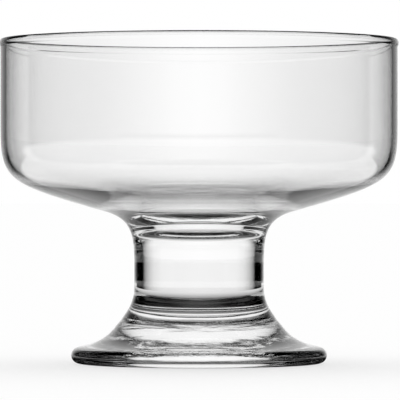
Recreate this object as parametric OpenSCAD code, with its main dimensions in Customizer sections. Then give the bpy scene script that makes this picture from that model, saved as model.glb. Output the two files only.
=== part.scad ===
// Footed ice cream cup of clear pressed glass, one piece.
// The cup is turned about +Z, stands on z = 0, and its origin is the centre of
// the ring that it stands on. Its whole form is one half section: the hollow
// under the foot, the flared foot, the stem, the bowl's outside, the beaded
// rim, the bowl's inside and the well that dips into the top of the stem.

/* [Rim] */
// Height of the cup, from the table to the top of the rim
cup_h = 82.9; // [76:0.1:95]
// Height of the bead that runs round the rim
bead_h = 2.3; // [1.6:0.1:3.2]
// How far the bead stands out from the wall
bead_proud = 0.25; // [0.1:0.05:0.8]

/* [Bowl] */
// Outer radius of the upright wall
bowl_r = 50.8; // [46:0.1:58]
// Thickness of the upright wall
wall_t = 1.4; // [1.1:0.1:2.6]
// Height at which the upright wall starts to turn in
turn_z = 61.5; // [58:0.1:68]
// How strongly the outside of the turn keeps the wall's direction
turn_wall_pull = 14.7; // [11:0.1:16]
// How strongly the outside of the turn keeps the bottom's direction
turn_cone_pull = 27.0; // [21:0.1:30]
// Slope of the bowl's bottom outside, in degrees
cone_slope = 15.8; // [13:0.1:20]
// Radius at which the bottom runs into the curve under the bowl
cone_r = 23.9; // [22.5:0.1:26]
// Height of the bottom's outside at that radius
cone_z = 38.7; // [37:0.1:41]

/* [Inside] */
// Thickness of the glass in the bowl's bottom
floor_t = 1.8; // [1.5:0.1:3]
// Slope of the bowl's floor inside, in degrees
floor_slope = 15.6; // [13:0.1:17]
// Radius at which the floor's straight slope starts
floor_r = 26.0; // [24:0.1:30]
// How strongly the inside of the turn keeps the wall's direction
inner_wall_pull = 14.1; // [10:0.1:17]
// How strongly the inside of the turn keeps the floor's direction
inner_floor_pull = 23.0; // [15:0.1:25]

/* [Well] */
// Radius at which the floor turns down into the well
well_mouth_r = 13.1; // [12.5:0.1:16]
// Radius of the well at the foot of its rounded mouth
well_r = 11.8; // [9.5:0.1:12.4]
// Height at which the well's rounded bottom starts
well_side_z = 35.8; // [34:0.1:36.8]
// Height of the well's lowest point
well_z = 32.0; // [30:0.1:33.4]
// Lean of the well's side from upright, in degrees
well_lean = 2; // [1:1:12]
// How strongly the mouth's curve keeps the floor's direction
mouth_floor_pull = 1.0; // [0.5:0.1:2.4]
// How strongly the mouth's curve keeps the side's direction
mouth_side_pull = 2.2; // [0.5:0.1:2.6]
// How strongly the well's bottom keeps the side's direction
well_side_pull = 3.0; // [1:0.1:3.6]
// How far the well's bottom stays nearly level from the axis
well_flat_pull = 5.7; // [3:0.1:9]

/* [Stem] */
// Radius of the straight stem
stem_r = 16.6; // [14.5:0.1:18.5]
// Height at which the curve under the bowl starts
stem_top_z = 25.3; // [22:0.1:27]
// How strongly that curve keeps the stem's direction
neck_stem_pull = 7.6; // [5:0.1:9]
// How strongly that curve keeps the bottom's direction
neck_cone_pull = 6.85; // [4:0.05:7.5]

/* [Foot] */
// Outer radius of the foot
foot_r = 32.7; // [30.5:0.1:38]
// Radius of the foot's rounded edge
foot_edge_r = 2.05; // [1.5:0.05:2.6]
// Slope of the foot's top near the edge, in degrees
apron_slope = 14; // [8:1:20]
// Radius of the flare's curve above that slope
flare_low_r = 12.5; // [8:0.1:15]
// Lean of the flare from upright at the end of that curve, in degrees
flare_low_lean = 42; // [36:1:50]
// Radius of the long curve in the middle of the flare
flare_mid_r = 36; // [25:0.1:48]
// Lean of the flare from upright at the end of that curve, in degrees
flare_mid_lean = 32; // [26:1:36]
// Radius of the curve that brings the flare upright into the stem
flare_top_r = 11.2; // [7:0.1:14]

/* [Hollow under the foot] */
// Width of the flat ring that the cup stands on
land_w = 1.7; // [1:0.1:3]
// Height of the hollow at the axis
hollow_h = 2.7; // [1:0.1:6]
// Slope of the hollow's side where it leaves the ring, in degrees
hollow_slope = 72; // [40:1:80]
// How strongly the hollow's side keeps that slope
hollow_side_pull = 1.4; // [0.6:0.1:3]
// How far the hollow's top stays nearly level from the axis
hollow_flat_pull = 16.9; // [8:0.1:22]

/* [Hidden] */

// Clear glass, with the slight grey of its reflections
glass = [0.86, 0.89, 0.89, 0.35];

// Faces round a full turn
turn_fn = 180;
// Degrees between two points of an arc, and spans along a free curve
arc_step = 6;
curve_spans = 20;

// Foot's rounded edge, and where the ring that the cup stands on lies
edge_centre = [foot_r - foot_edge_r, foot_edge_r];
land_outer_r = edge_centre[0];
land_inner_r = land_outer_r - land_w;

// Flare, from the slope above the foot's edge up to the stem
apron_start = along(edge_centre, 90 - apron_slope, foot_edge_r);
flare_reach = flare_low_r * (cos(flare_low_lean) - sin(apron_slope))
    + flare_mid_r * (cos(flare_mid_lean) - cos(flare_low_lean))
    + flare_top_r * (1 - cos(flare_mid_lean));
apron_end_r = stem_r + flare_reach;
apron_end = [apron_end_r, apron_start[1] + (apron_start[0] - apron_end_r) * tan(apron_slope)];
flare_low_centre = along(apron_end, 90 - apron_slope, flare_low_r);
flare_low_end = along(flare_low_centre, 180 + flare_low_lean, flare_low_r);
flare_mid_centre = along(flare_low_end, flare_low_lean, flare_mid_r);
flare_mid_end = along(flare_mid_centre, 180 + flare_mid_lean, flare_mid_r);
flare_top_centre = along(flare_mid_end, flare_mid_lean, flare_top_r);

// Bowl's outside, from the stem up to the wall
stem_top = [stem_r, stem_top_z];
cone_low = [cone_r, cone_z];
wall_foot = [bowl_r, turn_z];

// Rim, with an oval bead that stands a little out from the wall
rim_inner_r = bowl_r - wall_t;
bead_radii = [(wall_t + bead_proud) / 2, bead_h / 2];
bead_centre = [rim_inner_r + bead_radii[0], cup_h - bead_radii[1]];
// How far below its widest level the bead meets the wall's outside, in degrees
bead_start = acos((bowl_r - bead_centre[0]) / bead_radii[0]);

// Bowl's inside: the floor lies its own thickness above the bottom's outside
floor_start = [floor_r, cone_z + (floor_r - cone_r) * tan(cone_slope) + floor_t / cos(cone_slope)];
well_mouth = [well_mouth_r, floor_start[1] - (floor_r - well_mouth_r) * tan(floor_slope)];
well_side = [well_r, well_side_z];
well_bottom = [0, well_z];

// Point at a distance from another, in a direction given in degrees
function along(p, angle, distance) = p + distance * [cos(angle), sin(angle)];

// Points of an oval arc about a centre, between two directions
function oval_arc(centre, radii, from, to) =
    let (steps = max(2, ceil(abs(to - from) / arc_step)))
    [for (i = [0 : steps])
        let (angle = from + (to - from) * i / steps)
        centre + [radii[0] * cos(angle), radii[1] * sin(angle)]];

// Points of a round arc
function arc(centre, r, from, to) = oval_arc(centre, [r, r], from, to);

// Free curve between two ends, each of which pulls it along its own direction
function curve(a, a_pull, b_pull, b) =
    [for (i = [0 : curve_spans])
        let (t = i / curve_spans, u = 1 - t)
        u * u * u * a + 3 * u * u * t * a_pull + 3 * u * t * t * b_pull + t * t * t * b];

// All points but the last, where the next stretch starts with it
function but_last(points) = [for (i = [0 : len(points) - 2]) points[i]];

// Underside of the foot, from the axis out to the ring it stands on
function hollow_line() =
    let (top = [0, hollow_h], side = [land_inner_r, 0])
    curve(top, [hollow_flat_pull, hollow_h], along(side, 180 - hollow_slope, hollow_side_pull), side);

// Rounded edge of the foot, its sloping top and the flare up to the stem
function foot_line() = concat(
    arc(edge_centre, foot_edge_r, -90, 90 - apron_slope),
    but_last(arc(flare_low_centre, flare_low_r, 270 - apron_slope, 180 + flare_low_lean)),
    but_last(arc(flare_mid_centre, flare_mid_r, 180 + flare_low_lean, 180 + flare_mid_lean)),
    arc(flare_top_centre, flare_top_r, 180 + flare_mid_lean, 180));

// Curve under the bowl, the bowl's bottom and the turn up into its wall
function bowl_line() = concat(
    but_last(curve(stem_top, along(stem_top, 90, neck_stem_pull),
        along(cone_low, 180 + cone_slope, neck_cone_pull), cone_low)),
    curve(cone_low, along(cone_low, cone_slope, turn_cone_pull),
        along(wall_foot, -90, turn_wall_pull), wall_foot));

// Bead on the rim, from the wall's outside over the top to its inside
function bead_line() = concat(
    but_last(oval_arc(bead_centre, bead_radii, -bead_start, 90)),
    oval_arc(bead_centre, bead_radii, 90, 180));

// Inner wall, the turn into the floor, the mouth of the well and the well
function inside_line() =
    let (wall_end = [rim_inner_r, turn_z])
    concat(
        but_last(curve(wall_end, along(wall_end, -90, inner_wall_pull),
            along(floor_start, floor_slope, inner_floor_pull), floor_start)),
        but_last(curve(well_mouth, along(well_mouth, 180 + floor_slope, mouth_floor_pull),
            along(well_side, 90 - well_lean, mouth_side_pull), well_side)),
        curve(well_side, along(well_side, -90 - well_lean, well_side_pull),
            [well_flat_pull, well_z], well_bottom));

module cup() {
    color(glass)
        rotate_extrude($fn = turn_fn)
            polygon(concat(hollow_line(), foot_line(), bowl_line(), bead_line(), inside_line()));
}

cup();
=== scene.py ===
# %% [markdown]
# # Footed ice cream cup in clear pressed glass
# The cup is one piece of glass: a wide round bowl with an upright wall and a thin bead round
# its rim, a short solid stem, and a flared foot with a shallow hollow underneath. This lesson
# takes the exact solid that was packed for it, turns its outline into a finely spun mesh, and
# gives that mesh the look of clear pressed glass in a small photo studio.
#
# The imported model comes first. It is the fixed frame that every size below is measured from.

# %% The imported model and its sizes
import math

import bpy
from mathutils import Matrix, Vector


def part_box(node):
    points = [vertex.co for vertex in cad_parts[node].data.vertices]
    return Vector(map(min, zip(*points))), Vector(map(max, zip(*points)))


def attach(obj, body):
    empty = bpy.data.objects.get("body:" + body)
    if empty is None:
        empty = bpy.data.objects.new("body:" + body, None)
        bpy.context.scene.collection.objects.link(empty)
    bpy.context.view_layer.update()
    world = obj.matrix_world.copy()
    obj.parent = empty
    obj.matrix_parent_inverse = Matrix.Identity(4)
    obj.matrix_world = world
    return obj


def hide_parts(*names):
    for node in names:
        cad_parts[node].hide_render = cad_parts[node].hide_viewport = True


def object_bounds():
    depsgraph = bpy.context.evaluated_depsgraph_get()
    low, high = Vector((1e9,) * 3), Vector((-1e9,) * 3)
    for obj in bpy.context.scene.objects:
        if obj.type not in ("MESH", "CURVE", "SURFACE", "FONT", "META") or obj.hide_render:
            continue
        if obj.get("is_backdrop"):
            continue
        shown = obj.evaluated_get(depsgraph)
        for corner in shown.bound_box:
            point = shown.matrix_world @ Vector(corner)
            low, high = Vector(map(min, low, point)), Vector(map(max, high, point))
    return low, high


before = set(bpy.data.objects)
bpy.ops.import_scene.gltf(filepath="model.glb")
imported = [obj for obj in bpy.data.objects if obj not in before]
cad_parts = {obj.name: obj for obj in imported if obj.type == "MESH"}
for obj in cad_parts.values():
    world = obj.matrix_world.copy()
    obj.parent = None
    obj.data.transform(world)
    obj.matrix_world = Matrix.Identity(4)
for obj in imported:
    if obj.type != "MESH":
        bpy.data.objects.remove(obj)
cad_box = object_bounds()

MM = 0.001
low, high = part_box("cup")
cup_height = high.z - low.z
rim_width = high.x - low.x
print(f"cup: {cup_height / MM:.1f} mm high, {rim_width / MM:.1f} mm across the rim")

view_settings = bpy.context.scene.view_settings
view_settings.view_transform = "Standard"

# %% [markdown]
# ## Cutting out the outline
# A pressed cup is round, so its whole form is in one outline: from the middle of the underside,
# over the foot, stem, bowl and rim, and down the inside to the bottom of the well. The solid
# carries that outline already, so it is cut from a copy of it. The copy's loose triangles are
# merged, a plane through the axis bisects them, and only the edges on that plane stay. Drawing
# the outline by hand would give a second set of sizes that could drift from the solid.

# %% Outline from a cut through the axis
MERGE = 0.0005 * MM
STRAIGHT = math.radians(0.1)


def only(piece):
    """Leaves one object selected and active, so that operators work on nothing else."""
    bpy.ops.object.select_all(action="DESELECT")
    piece.select_set(True)
    bpy.context.view_layer.objects.active = piece


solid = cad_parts["cup"]
cup = bpy.data.objects.new("glass_cup", solid.data.copy())
bpy.context.scene.collection.objects.link(cup)
cup.data.materials.clear()
only(cup)
bpy.ops.object.mode_set(mode="EDIT")
bpy.ops.mesh.select_all(action="SELECT")
bpy.ops.mesh.remove_doubles(threshold=MERGE)
bpy.ops.mesh.bisect(
    plane_co=(0, 0, 0), plane_no=(0, 1, 0), clear_inner=True, clear_outer=True, threshold=MERGE
)
bpy.ops.mesh.select_all(action="DESELECT")
bpy.ops.object.mode_set(mode="OBJECT")
for vertex in cup.data.vertices:
    vertex.select = vertex.co.x < -MERGE
bpy.ops.object.mode_set(mode="EDIT")
bpy.ops.mesh.delete(type="VERT")
bpy.ops.mesh.select_all(action="SELECT")
bpy.ops.mesh.dissolve_limited(angle_limit=STRAIGHT)
bpy.ops.object.mode_set(mode="OBJECT")
print(f"outline: {len(cup.data.vertices)} points, {len(cup.data.edges)} edges")

# %% [markdown]
# ## Even stretches
# The upright wall and the floor of the bowl are straight, so the solid has a point only at
# either end of them. A smooth curve through points that far apart bulges between them, and the
# bulge shows in the glass as a crease half way up the wall. Every edge that is longer than 3 mm
# is halved until none is left, which keeps the straight stretches straight.

# %% Halving the long edges
LONG = 3 * MM

only(cup)
bpy.ops.object.mode_set(mode="EDIT")
bpy.ops.mesh.select_mode(type="EDGE")
long_edges = 1
while long_edges:
    bpy.ops.mesh.select_all(action="DESELECT")
    bpy.ops.object.mode_set(mode="OBJECT")
    ends = [vertex.co.copy() for vertex in cup.data.vertices]
    long_edges = 0
    for edge in cup.data.edges:
        first, second = edge.vertices
        edge.select = (ends[first] - ends[second]).length > LONG
        long_edges += edge.select
    bpy.ops.object.mode_set(mode="EDIT")
    if long_edges:
        bpy.ops.mesh.subdivide(number_cuts=1)
bpy.ops.mesh.select_mode(type="VERT")
bpy.ops.object.mode_set(mode="OBJECT")
print(f"even outline: {len(cup.data.vertices)} points")

# %% [markdown]
# ## Smoothing the outline
# The solid's curves are short straight stretches, and glass shows every one of them, because
# each bends the light its own way. A Bezier curve through the same points, with automatic
# handles, is smooth between them, and each stretch is then cut in two. Both edges of the ring
# that the cup stands on and the line where the bead meets the wall are real corners: there the
# handles point straight at their neighbours. Subdivision would be simpler, but it would pull
# the form off the solid's points.
#
# Beside those corners the curve can dip a few thousandths of a millimetre under the table, so
# points that lie lower than the solid's lowest level are lifted back to it.

# %% Bezier curve through the outline
CORNER = math.radians(20)
CUTS = 2

only(cup)
bpy.ops.object.convert(target="CURVE")
bpy.ops.object.mode_set(mode="EDIT")
bpy.ops.curve.select_all(action="SELECT")
bpy.ops.curve.spline_type_set(type="BEZIER")
bpy.ops.curve.handle_type_set(type="AUTOMATIC")
bpy.ops.object.mode_set(mode="OBJECT")
outline = cup.data.splines[0]
points = outline.bezier_points
corners = 0
for i in range(1, len(points) - 1):
    before = points[i].co - points[i - 1].co
    after = points[i + 1].co - points[i].co
    if before.angle(after) > CORNER:
        points[i].handle_left_type = "VECTOR"
        points[i].handle_right_type = "VECTOR"
        corners += 1
outline.resolution_u = CUTS
bpy.ops.object.convert(target="MESH")
for vertex in cup.data.vertices:
    vertex.co.z = max(vertex.co.z, low.z)
print(f"smooth outline: {len(cup.data.vertices)} points, {corners} corners")

# %% [markdown]
# ## Spinning the glass
# The mould of the press makes the cup round; Spin does the same to the outline. 200 steps leave
# a facet of 1.6 mm at the rim, which smooth shading hides. A full turn brings the last ring of
# points onto the first, so the doubles are merged, and then the normals are recalculated,
# because Spin can leave a shape inside out.

# %% Full turn about the axis
STEPS = 200

only(cup)
bpy.ops.object.mode_set(mode="EDIT")
bpy.ops.mesh.select_all(action="SELECT")
bpy.ops.mesh.spin(steps=STEPS, angle=2 * math.pi, center=(0, 0, 0), axis=(0, 0, 1))
bpy.ops.mesh.select_all(action="SELECT")
bpy.ops.mesh.remove_doubles(threshold=MERGE)
bpy.ops.mesh.normals_make_consistent(inside=False)
bpy.ops.object.mode_set(mode="OBJECT")
bpy.ops.object.shade_smooth_by_angle(angle=CORNER)
triangles = sum(len(face.vertices) - 2 for face in cup.data.polygons)
print(f"spun cup: {triangles} triangles")

# %% [markdown]
# ## Ripples in the hollow under the foot
# The hollow is the one face that the polishing flame doesn't reach. It keeps the chilled skin of
# the mould's bottom plate, which is full of low ripples a few millimetres apart, and they break
# up the rings that are seen in the foot. They are modelled, because they bend whatever is seen
# through them. A Displace modifier with a soft cloud texture moves only the points of a vertex
# group, whose weight fades to nothing at the ring that the cup stands on, so the ring stays flat.

# %% Ripples in the hollow
RIPPLE_APART = 4 * MM
RIPPLE_DEPTH = 0.22 * MM
RIPPLE_FADE = 4 * MM
ON_AXIS = 0.01 * MM

ring_inner = min(v.co.xy.length for v in cup.data.vertices if v.co.z < low.z + MERGE)
hollow_top = min(v.co.z for v in cup.data.vertices if v.co.xy.length < ON_AXIS)
underside = cup.vertex_groups.new(name="underside")
moved = 0
for vertex in cup.data.vertices:
    room = (ring_inner - vertex.co.xy.length) / RIPPLE_FADE
    if room > 0 and vertex.co.z < hollow_top + MERGE:
        underside.add([vertex.index], min(room, 1), "REPLACE")
        moved += 1
clouds = bpy.data.textures.new("soft_clouds", "CLOUDS")
clouds.noise_scale = RIPPLE_APART

only(cup)
bpy.ops.object.modifier_add(type="DISPLACE")
ripples = cup.modifiers[-1]
ripples.texture = clouds
ripples.texture_coords = "LOCAL"
ripples.direction = "Z"
ripples.mid_level = 0.5
ripples.strength = RIPPLE_DEPTH
ripples.vertex_group = underside.name
bpy.ops.object.modifier_apply(modifier=ripples.name)
print(f"ripples: {moved} points inside a ring of {ring_inner / MM:.2f} mm radius")

# %% [markdown]
# ## Colours and nodes
# A colour picker shows a colour as a hex value, and a shader works in linear light, so one
# function turns the first into the second. Another adds a node with its settings and links, so
# that a material reads as a list of its nodes. A socket is given by its name, or by its number
# where a node has several of one name, as in _0 and _1.

# %% Colours and nodes


def linear(hex_colour):
    """Turns an sRGB colour such as #F4F6F5 into the linear values that a shader takes."""
    values = [int(hex_colour[i : i + 2], 16) / 255 for i in (1, 3, 5)]
    return [v / 12.92 if v <= 0.04045 else ((v + 0.055) / 1.055) ** 2.4 for v in values] + [1]


def add(tree, kind, settings=None, **links):
    """Adds a node, sets its properties and sockets, and links outputs to its sockets."""
    node = tree.nodes.new(kind)
    for name, value in (settings or {}).items():
        if isinstance(name, int) or name in node.inputs:
            node.inputs[name].default_value = value
        else:
            setattr(node, name, value)
    for name, output in links.items():
        socket = int(name[1:]) if name[1:].isdigit() else name.replace("_", " ")
        tree.links.new(output, node.inputs[socket])
    return node


def new_material(name):
    """An empty material and its node tree."""
    made = bpy.data.materials.new(name)
    made.use_nodes = True
    made.node_tree.nodes.clear()
    return made, made.node_tree


TABLE_WHITE = linear("#F5F5F5")
PURE_WHITE = linear("#FFFFFF")
print(f"table white: {TABLE_WHITE[0]:.3f} in linear light")

# %% [markdown]
# ## Clear pressed soda-lime glass
# The cup is soda-lime glass, dropped as a red-hot gob into an iron mould, pressed with a plunger
# and then fire-polished, so it is clear all through and smooth to the touch. A Principled shader
# with full transmission, no roughness and the refractive index of soda-lime glass, 1.52, is
# enough. The glass keeps its clear white colour: at this thickness the faint green that iron
# leaves in cheap glass can't be seen. Only the hollow under the foot has a fine stipple from the
# mould's bottom plate. It is too fine to model, so a bump carries it, and a mask keeps the bump
# to that one face.

# %% Clear pressed soda-lime glass
GLASS_IOR = 1.52
STIPPLE_APART = 0.6 * MM
STIPPLE_DEPTH = 0.02 * MM

glass, tree = new_material("clear_pressed_soda_lime_glass")
place = add(tree, "ShaderNodeTexCoord")
xyz = add(tree, "ShaderNodeSeparateXYZ", Vector=place.outputs["Object"])
flat = add(
    tree, "ShaderNodeVectorMath", {"operation": "MULTIPLY", 1: (1, 1, 0)}, _0=place.outputs["Object"]
)
from_axis = add(tree, "ShaderNodeVectorMath", {"operation": "LENGTH"}, _0=flat.outputs[0])
inside_ring = add(
    tree,
    "ShaderNodeMath",
    {"operation": "LESS_THAN", 1: ring_inner},
    _0=from_axis.outputs["Value"],
)
low_down = add(
    tree,
    "ShaderNodeMath",
    {"operation": "LESS_THAN", 1: hollow_top + RIPPLE_DEPTH},
    _0=xyz.outputs["Z"],
)
in_hollow = add(
    tree,
    "ShaderNodeMath",
    {"operation": "MULTIPLY"},
    _0=inside_ring.outputs[0],
    _1=low_down.outputs[0],
)
grain = add(
    tree,
    "ShaderNodeTexNoise",
    {"Scale": 1 / STIPPLE_APART, "Detail": 1.0},
    Vector=place.outputs["Object"],
)
stipple = add(
    tree,
    "ShaderNodeBump",
    {"Distance": STIPPLE_DEPTH},
    Strength=in_hollow.outputs[0],
    Height=grain.outputs[0],
)
body = add(
    tree,
    "ShaderNodeBsdfPrincipled",
    {
        "Base Color": PURE_WHITE,
        "Roughness": 0.0,
        "IOR": GLASS_IOR,
        "Transmission Weight": 1.0,
    },
    Normal=stipple.outputs["Normal"],
)
add(tree, "ShaderNodeOutputMaterial", Surface=body.outputs["BSDF"])
cup.data.materials.append(glass)

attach(cup, "root")
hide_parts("cup")
print(f"glass: index {GLASS_IOR}")

# %% [markdown]
# ## A white table
# The cup stands on plain white laminate that runs on until it meets the white backdrop. It lies
# a hair below the foot, which leaves room for the disc of painted shade under the foot that comes
# later. The lamp lights it like any matt white thing, so it keeps the cup's soft shadow. Part of it
# glows for the camera, and a little for rays that come through or off the glass, so that it is white
# wherever it is seen, without any more light on the cup.

# %% White table
TABLE_SIZE = 80
TABLE_DROP = 0.2 * MM
TABLE_GLOW_SEEN = 0.7
TABLE_GLOW_IN_GLASS = 0.1

only(cup)
bpy.ops.mesh.primitive_plane_add(size=TABLE_SIZE, location=(0, 0, low.z - TABLE_DROP))
table = bpy.context.object
table.name = "white_table"
table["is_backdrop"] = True

laminate, tree = new_material("white_laminate")
path = add(tree, "ShaderNodeLightPath")
in_glass = add(
    tree,
    "ShaderNodeMath",
    {"operation": "MAXIMUM"},
    _0=path.outputs["Is Glossy Ray"],
    _1=path.outputs["Is Transmission Ray"],
)
glass_glow = add(
    tree, "ShaderNodeMath", {"operation": "MULTIPLY", 1: TABLE_GLOW_IN_GLASS}, _0=in_glass.outputs[0]
)
seen_glow = add(
    tree,
    "ShaderNodeMath",
    {"operation": "MULTIPLY_ADD", 1: TABLE_GLOW_SEEN},
    _0=path.outputs["Is Camera Ray"],
    _2=glass_glow.outputs[0],
)
matt = add(tree, "ShaderNodeBsdfDiffuse", {"Color": TABLE_WHITE})
glow = add(tree, "ShaderNodeEmission", {"Color": PURE_WHITE, "Strength": 1.0})
mixed = add(
    tree, "ShaderNodeMixShader", _0=seen_glow.outputs[0], _1=matt.outputs[0], _2=glow.outputs[0]
)
add(tree, "ShaderNodeOutputMaterial", Surface=mixed.outputs[0])
table.data.materials.append(laminate)
print(f"table: {TABLE_SIZE} m wide")

# %% [markdown]
# ## A white backdrop
# The backdrop is white for the camera, and for every ray that reaches it off or through the
# glass. For the soft light that it throws on the matt table it is a little dimmer, so that the
# table doesn't clip and the shadow under the cup stays.

# %% White backdrop
AMBIENT = 0.55

world = bpy.data.worlds.new("white_studio")
bpy.context.scene.world = world
world.use_nodes = True
tree = world.node_tree
tree.nodes.clear()
path = add(tree, "ShaderNodeLightPath")
ambient = add(tree, "ShaderNodeBackground", {"Color": PURE_WHITE, "Strength": AMBIENT})
backdrop = add(tree, "ShaderNodeBackground", {"Color": PURE_WHITE, "Strength": 1.0})
direct = add(
    tree,
    "ShaderNodeMath",
    {"operation": "MAXIMUM"},
    _0=path.outputs["Is Camera Ray"],
    _1=path.outputs["Is Glossy Ray"],
)
seen = add(
    tree,
    "ShaderNodeMath",
    {"operation": "MAXIMUM"},
    _0=direct.outputs[0],
    _1=path.outputs["Is Transmission Ray"],
)
mixed = add(
    tree, "ShaderNodeMixShader", _0=seen.outputs[0], _1=ambient.outputs[0], _2=backdrop.outputs[0]
)
add(tree, "ShaderNodeOutputWorld", Surface=mixed.outputs[0])
print(f"backdrop: white, {AMBIENT} as ambient light")

# %% [markdown]
# ## One broad lamp
# A single broad lamp above the cup, tilted a little so that it shines towards the camera, stands
# for a large softbox. Its wide angle gives the table a soft contact shadow. The glass doesn't
# mirror it, because what shapes clear glass is not the lamp but the light and dark cards round it.

# %% Broad soft lamp
LAMP_STRENGTH = 1.7
LAMP_WIDTH = math.radians(70)
LAMP_TILT = math.radians(-20)

lamp_data = bpy.data.lights.new("broad_soft_light", "SUN")
lamp_data.energy = LAMP_STRENGTH
lamp_data.angle = LAMP_WIDTH
lamp = bpy.data.objects.new("broad_soft_light", lamp_data)
bpy.context.scene.collection.objects.link(lamp)
lamp.rotation_euler = (LAMP_TILT, 0, 0)
lamp.visible_glossy = False
lamp.visible_transmission = False
print(f"lamp: strength {LAMP_STRENGTH}")

# %% [markdown]
# ## Cards that only the glass sees
# A photographer shapes clear glass with cards that stand outside the picture. These cards go a
# step further: neither the camera nor the lamp sees them, so they can stand close to the cup.
# Most of them are black, and a colour ramp over a distance or a direction says how much of the
# white behind them comes through. A ramp gives a soft edge, like a softbox behind tracing paper.

# %% Cards that only the glass sees
BLACK = linear("#000000")


def graded(tree, value, stops):
    """A colour ramp over a value, from (place, brightness) pairs that start at place 0."""
    top = stops[-1][0]
    part = add(tree, "ShaderNodeMath", {"operation": "DIVIDE", 1: top}, _0=value)
    ramp = add(tree, "ShaderNodeValToRGB", Fac=part.outputs[0])
    elements = ramp.color_ramp.elements
    elements.remove(elements[0])
    for i, (place, brightness) in enumerate(stops):
        element = elements[0] if i == 0 else elements.new(place / top)
        element.position = place / top
        element.color = (brightness, brightness, brightness, 1)
    return ramp.outputs["Color"]


def black_card(name, clear=None):
    """Black card, which lets the white behind it through where the clear function says so."""
    made, tree = new_material(name)
    black = add(tree, "ShaderNodeEmission", {"Color": BLACK, "Strength": 0.0})
    surface = black.outputs[0]
    if clear:
        open_air = add(tree, "ShaderNodeBsdfTransparent")
        share = clear(tree)
        mixed = add(tree, "ShaderNodeMixShader", _0=share, _1=surface, _2=open_air.outputs[0])
        surface = mixed.outputs[0]
    add(tree, "ShaderNodeOutputMaterial", Surface=surface)
    return made


def only_in_glass(piece, name, card):
    """Fixes a card where it stands, and hides it from all but the glass."""
    only(piece)
    bpy.ops.object.transform_apply(location=True, rotation=True, scale=True)
    piece.name = name
    piece.data.materials.append(card)
    piece.visible_camera = False
    piece.visible_diffuse = False
    piece.visible_shadow = False
    piece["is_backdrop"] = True
    print(f"card: {name}")


# %% [markdown]
# ## Black board with a bright window
# Glass is photographed in front of a bright window in a black board. Light that comes straight
# through is white, and light that the glass bends hard comes from the black beside the window,
# which draws the dark edges of the wall and the black bands down the stem. The board stands
# close behind the cup, so the wall's edges, which look outward past the window, darken as well.
# The window fades out towards its sides. It is a little wider at the height of the bowl than at
# the height of the stem, because the bowl's thin wall bends the light less than the solid stem.

# %% Black board with a bright window
BOARD_Y = 100 * MM
BOARD_W = 440 * MM
BOARD_H = 600 * MM
# how clear the board is, by distance from its middle in mm, behind the stem and the bowl
BEHIND_STEM = [(0, 1), (36, 0.97), (50, 0.87), (64, 0.65), (78, 0.39), (90, 0.13), (97, 0), (220, 0)]
BEHIND_BOWL = [(0, 1), (50, 0.94), (60, 0.84), (70, 0.62), (80, 0.38), (90, 0.24), (120, 0), (220, 0)]
STEM_TO = 38 * MM
BOWL_FROM = 50 * MM


def window(tree):
    """Clear in the middle of the board, black beside it."""
    place = add(tree, "ShaderNodeTexCoord")
    xyz = add(tree, "ShaderNodeSeparateXYZ", Vector=place.outputs["Object"])
    aside = add(tree, "ShaderNodeMath", {"operation": "ABSOLUTE"}, _0=xyz.outputs["X"])
    in_mm = add(tree, "ShaderNodeMath", {"operation": "DIVIDE", 1: MM}, _0=aside.outputs[0])
    behind_stem = graded(tree, in_mm.outputs[0], BEHIND_STEM)
    behind_bowl = graded(tree, in_mm.outputs[0], BEHIND_BOWL)
    height = add(
        tree,
        "ShaderNodeMapRange",
        {"From Min": STEM_TO, "From Max": BOWL_FROM},
        Value=xyz.outputs["Z"],
    )
    mixed = add(
        tree,
        "ShaderNodeMix",
        {"data_type": "FLOAT"},
        _0=height.outputs["Result"],
        _2=behind_stem,
        _3=behind_bowl,
    )
    return mixed.outputs[0]


board_middle = (0, BOARD_Y, BOARD_H / 2)
only(cup)
bpy.ops.mesh.primitive_plane_add(size=1, location=board_middle)
bpy.ops.transform.resize(value=(BOARD_W, BOARD_H, 1))
bpy.ops.transform.rotate(value=math.pi / 2, orient_axis="X", center_override=board_middle)
only_in_glass(bpy.context.object, "board_with_window", black_card("black_board", window))
print(f"window: ends {BEHIND_STEM[-2][0]} mm and {BEHIND_BOWL[-2][0]} mm from its middle")

# %% [markdown]
# ## Dark screens round the table
# The wall of the bowl mirrors what stands at the sides of the table. Black screens there take
# the white out of its reflections, which leaves the soft grey that runs from the sides of the
# wall to its middle. They are open behind the board, and open again towards the camera, so that
# the middle of the wall stays bright. High up they fade out. A low black strip in front of the
# cup keeps the stem's bands black.

# %% Dark screens round the table
ROUND_SIDES = 96
SCREEN_R = 600 * MM
SCREEN_H = 1200 * MM
FADE_FROM = 0.75 * SCREEN_H
STRIP_H = 25 * MM
STRIP_T = 1 * MM
# how clear the screens are, by direction from straight behind the cup in degrees
ROUND = [(0, 1), (45, 1), (50, 0), (98, 0), (120, 0.1), (150, 0.6), (165, 0.85), (180, 0.9)]


def direction_and_height(tree):
    """Clear by direction, and everywhere near the top of the screens."""
    place = add(tree, "ShaderNodeTexCoord")
    xyz = add(tree, "ShaderNodeSeparateXYZ", Vector=place.outputs["Object"])
    turn = add(
        tree, "ShaderNodeMath", {"operation": "ARCTAN2"}, _0=xyz.outputs["X"], _1=xyz.outputs["Y"]
    )
    aside = add(tree, "ShaderNodeMath", {"operation": "ABSOLUTE"}, _0=turn.outputs[0])
    degrees = add(tree, "ShaderNodeMath", {"operation": "DEGREES"}, _0=aside.outputs[0])
    around = graded(tree, degrees.outputs[0], ROUND)
    fade = add(
        tree,
        "ShaderNodeMapRange",
        {"From Min": FADE_FROM, "From Max": SCREEN_H},
        Value=xyz.outputs["Z"],
    )
    clear = add(
        tree, "ShaderNodeMath", {"operation": "MAXIMUM"}, _0=around, _1=fade.outputs["Result"]
    )
    return clear.outputs[0]


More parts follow.
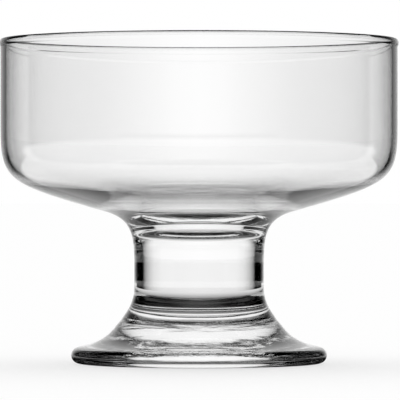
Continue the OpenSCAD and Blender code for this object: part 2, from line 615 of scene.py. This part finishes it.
only(cup)
bpy.ops.mesh.primitive_cylinder_add(
    vertices=ROUND_SIDES,
    radius=SCREEN_R,
    depth=SCREEN_H,
    end_fill_type="NOTHING",
    location=(0, 0, SCREEN_H / 2),
)
only_in_glass(
    bpy.context.object, "round_screens", black_card("black_screen", direction_and_height)
)

only(cup)
bpy.ops.mesh.primitive_cube_add(size=1, location=(0, -SCREEN_R, STRIP_H / 2))
bpy.ops.transform.resize(value=(2 * SCREEN_R, STRIP_T, STRIP_H))
only_in_glass(bpy.context.object, "low_front_strip", black_card("black_strip"))
print(f"screens: {SCREEN_R / MM:.0f} mm away, {SCREEN_H / MM:.0f} mm high")

# %% [markdown]
# ## Painted shade under the foot
# Hardly any light gets under the foot, so a round dark disc is laid there as painted shade, the
# shadow of the foot itself. It is dark as far as the foot's edge and thins out from there. The glass
# shows it as the dark rings that give the foot its depth, and as the soft grey on the underside of
# the bowl.

# %% Painted shade under the foot
# how clear the painted shade under the foot is, by distance from its middle in mm
FOOT_SHADE = [(0, 0), (35, 0), (44, 0.48), (70, 0.7), (110, 0.85), (300, 0.9), (400, 1)]
FOOT_SHADE_R = FOOT_SHADE[-1][0] * MM


def by_distance(tree):
    """Painted shade of the foot: dark in the middle, and clear towards its edge."""
    place = add(tree, "ShaderNodeTexCoord")
    away = add(
        tree, "ShaderNodeVectorMath", {"operation": "LENGTH"}, _0=place.outputs["Object"]
    )
    in_mm = add(tree, "ShaderNodeMath", {"operation": "DIVIDE", 1: MM}, _0=away.outputs["Value"])
    return graded(tree, in_mm.outputs[0], FOOT_SHADE)


# a disc of painted shade under the foot, seen only in the glass
only(cup)
bpy.ops.mesh.primitive_circle_add(
    vertices=ROUND_SIDES,
    radius=FOOT_SHADE_R,
    fill_type="NGON",
    location=(0, 0, low.z - TABLE_DROP / 2),
)
only_in_glass(bpy.context.object, "painted_shade_under_foot", black_card("painted_foot_shade", by_distance))
# radius of the disc of painted shade under the foot
print(f"felt: {FOOT_SHADE_R / MM:.0f} mm in radius")

# %% [markdown]
# ## Grey ceiling
# A round grey card hangs high above the cup, like the ceiling of a studio, so that the bead on
# the rim has a darker line along its top. Its edge is seen from the cup at 64 degrees above the
# table.

# %% Grey ceiling
CEILING_SIDES = 64
CEILING_Z = 1.2
CEILING_FROM = math.radians(64)
CEILING_R = CEILING_Z / math.tan(CEILING_FROM)

only(cup)
bpy.ops.mesh.primitive_circle_add(
    vertices=CEILING_SIDES, radius=CEILING_R, fill_type="NGON", location=(0, 0, CEILING_Z)
)
ceiling, tree = new_material("grey_ceiling")
dim = add(tree, "ShaderNodeEmission", {"Color": linear("#6C6C6C"), "Strength": 1.0})
add(tree, "ShaderNodeOutputMaterial", Surface=dim.outputs[0])
only_in_glass(bpy.context.object, "grey_ceiling", ceiling)
print(f"ceiling: {CEILING_Z} m up, {CEILING_R:.2f} m in radius")

# %% [markdown]
# ## The camera
# The rim is seen from slightly below and the foot from slightly above, so the camera looks
# level from about half the cup's height. It stands far enough away, just under a metre, for
# the ellipses of the rim and the foot to be as thin as they are in the picture, and its long
# lens fills the frame from one side of the rim to the other.

# %% The camera
CAMERA_Y = -947 * MM
CAMERA_Z = 41.7 * MM
CAMERA_X = 0.256 * MM
SENSOR = 36
LENS = 333
NEAREST_SEEN = 10 * MM

camera_data = bpy.data.cameras.new("studio_camera")
camera_data.sensor_width = SENSOR
camera_data.lens = LENS
camera_data.clip_start = NEAREST_SEEN
camera = bpy.data.objects.new("studio_camera", camera_data)
bpy.context.scene.collection.objects.link(camera)
camera.location = (CAMERA_X, CAMERA_Y, CAMERA_Z)
camera.rotation_euler = (math.pi / 2, 0, 0)
bpy.context.scene.camera = camera
print(f"camera: {-CAMERA_Y:.3f} m away, {LENS} mm lens")

# %% [markdown]
# ## Size and finish
# The dressed cup's box is set against the imported solid's box, and the largest difference is
# printed. The dressed cup has to fill the same box as the imported solid.

# %% Size and finish
box_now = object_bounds()
difference = max(abs(a - b) for c, v in zip(cad_box, box_now) for a, b in zip(c, v))
print(f"size: the box differs from the solid's by {difference / MM:.3f} mm")
